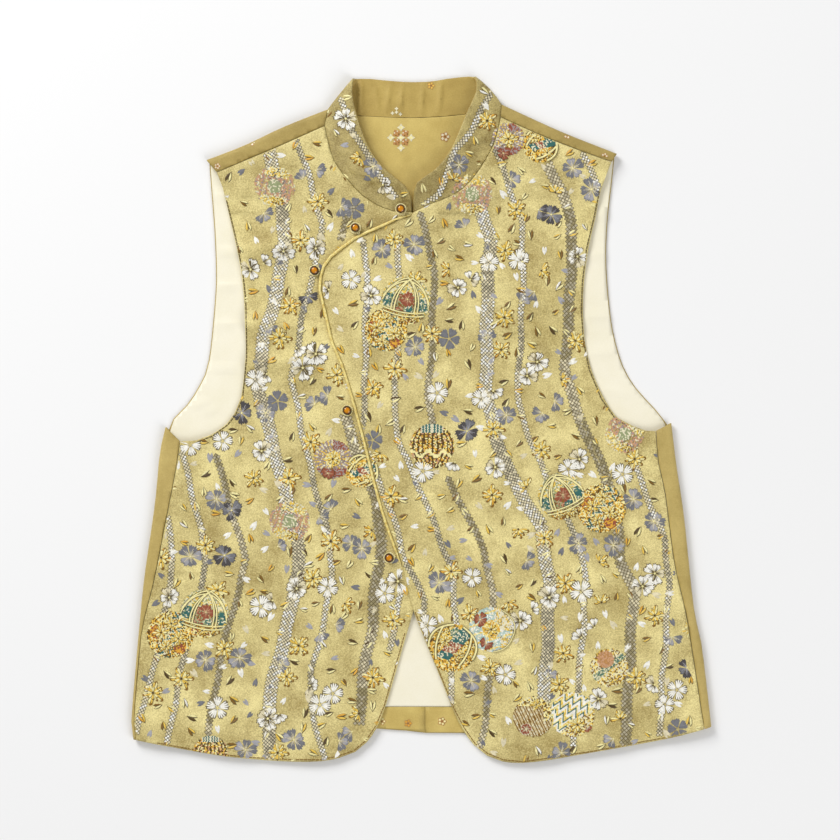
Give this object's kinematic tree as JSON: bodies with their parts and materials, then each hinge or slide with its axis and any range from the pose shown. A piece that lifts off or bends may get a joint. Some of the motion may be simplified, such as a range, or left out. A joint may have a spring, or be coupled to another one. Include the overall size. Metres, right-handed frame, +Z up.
{
  "type": "brocade waistcoat",
  "caption": "Sleeveless brocade waistcoat with a stand collar, a slanted piped placket and bead buttons in cord loops, laid flat on its back.",
  "frame": {"origin": "on the floor, under the middle of the garment as it lies on its back", "axes": "+Y towards the collar, +Z up out of the front, +X towards the wearer's left side"},
  "size_m": [0.5791, 0.6855, 0.0182],
  "materials": {
    "brocade": "gold brocade with silver, slate and gold flower and lattice weave",
    "plain_cloth": "plain matte gold cloth, fine weave",
    "lining_satin": "cream satin",
    "gold_cord": "bright gold satin cord",
    "amber_bead": "polished amber"
  },
  "bodies": {
    "root": {"back": "plain_cloth", "back_neck_facing": "plain_cloth", "back_lining": "lining_satin", "back_hem_facing_right": "plain_cloth", "back_hem_facing_left": "plain_cloth", "right_front": "brocade", "left_front": "brocade", "collar_outer": "brocade", "collar_facing": "plain_cloth", "placket_piping": "gold_cord", "bead_1": "amber_bead", "bead_2": "amber_bead", "bead_3": "amber_bead", "bead_4": "amber_bead", "bead_5": "amber_bead", "loop_1": "gold_cord", "loop_2": "gold_cord", "loop_3": "gold_cord", "loop_4": "gold_cord", "loop_5": "gold_cord"}
  },
  "joints": []
}
